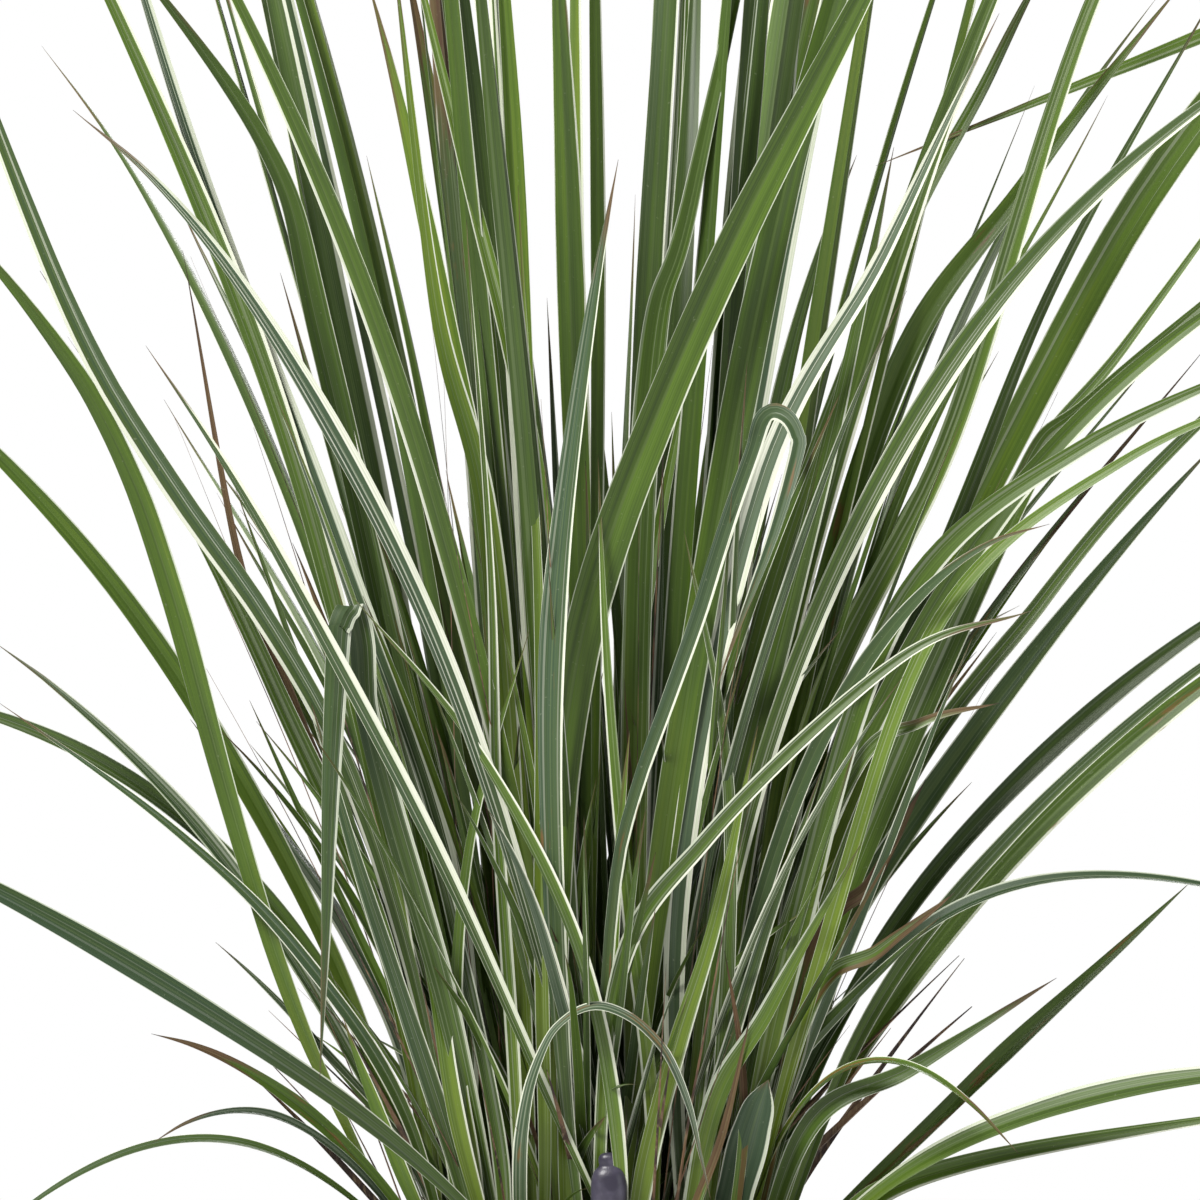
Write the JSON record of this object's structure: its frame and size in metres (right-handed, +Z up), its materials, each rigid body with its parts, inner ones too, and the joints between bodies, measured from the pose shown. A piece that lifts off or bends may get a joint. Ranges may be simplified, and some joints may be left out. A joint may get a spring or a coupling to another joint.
{
  "type": "potted ornamental grass clump",
  "caption": "Upright clump of variegated ornamental grass with white-edged, arching green blades, growing in soil in a plain dark round nursery pot.",
  "frame": {"origin": "middle of the flat underside of the pot, on the pot's axis", "axes": "+Z up along the pot's axis; -Y is the front of the clump, +X its right seen from the front"},
  "size_m": [0.494, 0.354, 0.6923],
  "materials": {
    "grass_blade": "satin green leaf with cream margins and pale veins",
    "grass_shoot": "satin green leaf sheaths and blades",
    "potting_soil": "matte dark peat and bark",
    "pot_plastic": "matte black moulded plastic",
    "stake_plastic": "satin purple-black plastic"
  },
  "bodies": {
    "root": {"pot": "pot_plastic", "soil": "potting_soil", "label_stake": "stake_plastic", "shoot_01": "grass_shoot", "shoot_02": "grass_shoot", "shoot_03": "grass_shoot", "shoot_04": "grass_shoot", "shoot_05": "grass_shoot", "shoot_06": "grass_shoot", "shoot_07": "grass_shoot", "shoot_08": "grass_shoot", "shoot_09": "grass_shoot", "shoot_10": "grass_shoot", "shoot_11": "grass_shoot", "shoot_12": "grass_shoot", "shoot_13": "grass_shoot", "shoot_14": "grass_shoot", "shoot_15": "grass_shoot", "shoot_16": "grass_shoot", "shoot_17": "grass_shoot", "shoot_18": "grass_shoot", "leaf_01": "grass_blade", "leaf_02": "grass_blade", "leaf_03": "grass_blade", "leaf_04": "grass_blade", "leaf_05": "grass_blade", "leaf_06": "grass_blade", "leaf_07": "grass_blade", "leaf_08": "grass_blade", "leaf_09": "grass_blade", "leaf_10": "grass_blade", "leaf_11": "grass_blade", "leaf_12": "grass_blade", "leaf_13": "grass_blade", "leaf_14": "grass_blade", "leaf_15": "grass_blade", "leaf_16": "grass_blade", "leaf_17": "grass_blade", "leaf_18": "grass_blade", "leaf_19": "grass_blade", "leaf_20": "grass_blade", "leaf_21": "grass_blade", "leaf_22": "grass_blade", "leaf_23": "grass_blade", "leaf_24": "grass_blade", "leaf_25": "grass_blade", "leaf_26": "grass_blade", "leaf_27": "grass_blade", "leaf_28": "grass_blade", "leaf_29": "grass_blade", "leaf_30": "grass_blade", "leaf_31": "grass_blade", "leaf_32": "grass_blade", "leaf_33": "grass_blade", "leaf_34": "grass_blade", "leaf_35": "grass_blade", "leaf_36": "grass_blade", "leaf_37": "grass_blade", "leaf_38": "grass_blade", "leaf_39": "grass_blade"}
  },
  "joints": []
}
